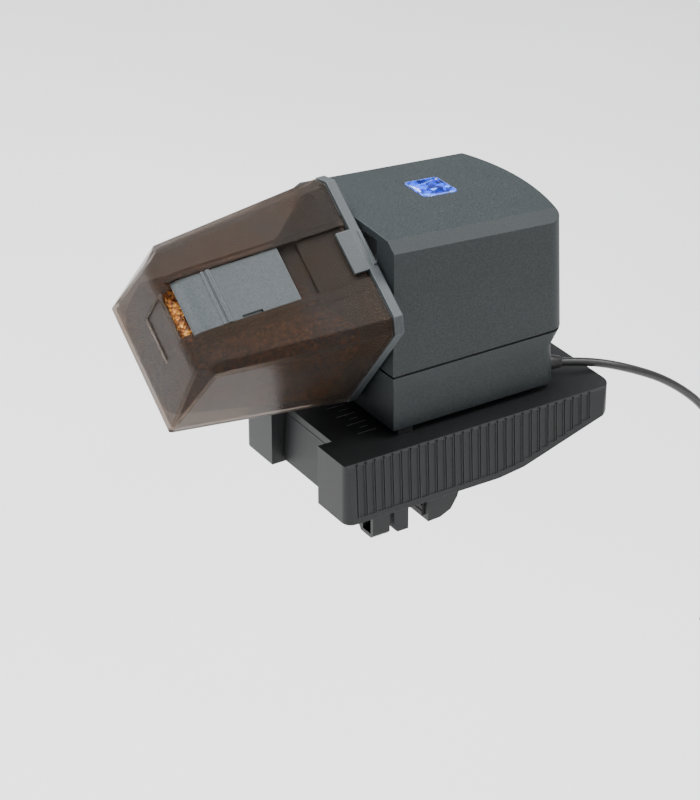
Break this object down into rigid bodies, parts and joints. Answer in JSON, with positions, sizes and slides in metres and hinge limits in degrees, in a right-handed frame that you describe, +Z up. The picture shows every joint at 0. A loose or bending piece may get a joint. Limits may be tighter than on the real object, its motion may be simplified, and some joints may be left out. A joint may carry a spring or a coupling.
{
  "type": "automatic fish feeder",
  "caption": "Automatic fish feeder: tilted food drum with dosing slider, geared drive housing with lit push button, and a sliding clamp base for an aquarium pane.",
  "frame": {"origin": "centre of the rubber seat face that rests on the pane's top edge, between the clamp jaws", "axes": "+Z up, +X from the food drum towards the cord, Y along the pane; the seat faces -Z"},
  "size_m": [0.2645, 0.1253, 0.2545],
  "materials": {
    "base_plastic": "fine moulded grain, near black grey",
    "housing_plastic": "fine speckled grain, dark blue grey",
    "lid_grey": "satin grey",
    "slider_grey": "satin light grey",
    "drum_smoke": "translucent smoke brown, satin outside",
    "button_clear": "clear blue, lit from below",
    "chassis_white": "white moulded",
    "gear_white": "natural acetal",
    "pad_rubber": "black rubber",
    "cord_black": "black flexible sheath",
    "tie_black": "black tie",
    "screw_steel": "plated steel",
    "spring_steel": "bright wire",
    "bracket_steel": "pressed sheet",
    "motor_can": "drawn can",
    "bush_brass": "turned",
    "plug_nickel": "nickel plated shell",
    "board_green": "glass laminate with solder mask",
    "module_can": "tinned screening can",
    "switch_black": "moulded",
    "led_white": "clear lens"
  },
  "bodies": {
    "base": {"base_frame": "base_plastic", "pane_pad": "pad_rubber", "fixed_jaw": "base_plastic", "fixed_jaw_pad": "pad_rubber", "jaw_screws": "screw_steel"},
    "clamp": {"slide_tongue": "base_plastic", "moving_jaw": "base_plastic", "moving_jaw_pad": "pad_rubber", "moving_jaw_screws": "screw_steel", "finger_pull": "base_plastic", "pull_screws": "screw_steel"},
    "housing": {"slide_shoes": "base_plastic", "shoe_keepers": "screw_steel", "keeper_screws": "screw_steel", "lower_housing": "housing_plastic", "housing_seal": "pad_rubber", "top_cover": "housing_plastic", "cover_screws": "screw_steel", "button_spring": "spring_steel", "circuit_board": "board_green", "board_screws": "screw_steel", "tact_switch": "switch_black", "status_led": "led_white", "wireless_module": "module_can", "chassis_plate": "chassis_white", "spindle_bush": "bush_brass", "gearbox_bracket": "bracket_steel", "bracket_screws": "screw_steel", "idler_axle": "screw_steel", "motor": "motor_can", "cord_gland": "cord_black", "power_cord": "cord_black", "cord_coil": "cord_black", "cord_tie": "tie_black", "cord_tail": "cord_black", "plug_body": "cord_black", "plug_shell": "plug_nickel"},
    "button": {"push_button": "button_clear"},
    "reduction": {"reduction_gear": "gear_white"},
    "motor_rotor": {"motor_pinion": "bush_brass", "motor_shaft": "screw_steel"},
    "spindle": {"spindle": "screw_steel", "output_gear": "gear_white", "coupling_driver": "gear_white"},
    "lid": {"drum_lid": "lid_grey", "lid_seal": "pad_rubber"},
    "drum": {"drum_shell": "drum_smoke"},
    "slider": {"dosing_slider": "slider_grey"}
  },
  "joints": [
    {"name": "clamp_slide", "type": "slide", "parent": "base", "child": "clamp", "axis": [-1, 0, 0], "range_m": [-0.003, 0.008]},
    {"name": "cross_slide", "type": "slide", "parent": "base", "child": "housing", "axis": [0, 1, 0], "range_m": [-0.01, 0.01]},
    {"name": "button_press", "type": "slide", "parent": "housing", "child": "button", "axis": [0, 0, -1], "range_m": [0, 0.0008], "stiffness_N_per_m": 600, "springref_m": -0.001, "deforming": ["button_spring"]},
    {"name": "spindle_spin", "type": "hinge", "parent": "housing", "child": "spindle", "pos_m": [0, 0.0065, 0.075], "axis": [1, 0, 0], "continuous": true},
    {"name": "reduction_spin", "type": "hinge", "parent": "housing", "child": "reduction", "pos_m": [0, 0.0065, 0.0526], "axis": [1, 0, 0], "continuous": true},
    {"name": "motor_spin", "type": "hinge", "parent": "housing", "child": "motor_rotor", "pos_m": [0, 0.02492, 0.0459], "axis": [1, 0, 0], "continuous": true},
    {"name": "drum_pull", "type": "slide", "parent": "spindle", "child": "lid", "axis": [-1, 0, 0], "range_m": [0, 0.01]},
    {"name": "shell_pull", "type": "slide", "parent": "lid", "child": "drum", "axis": [-1, 0, 0], "range_m": [0, 0.03]},
    {"name": "dose_slide", "type": "slide", "parent": "drum", "child": "slider", "axis": [-0.992, 0.0765, -0.1001], "range_m": [-0.0075, 0.004]}
  ],
  "couplings": [
    {"joint": "reduction_spin", "follows": "spindle_spin", "ratio": -3.5714},
    {"joint": "motor_spin", "follows": "spindle_spin", "ratio": 13.095}
  ]
}
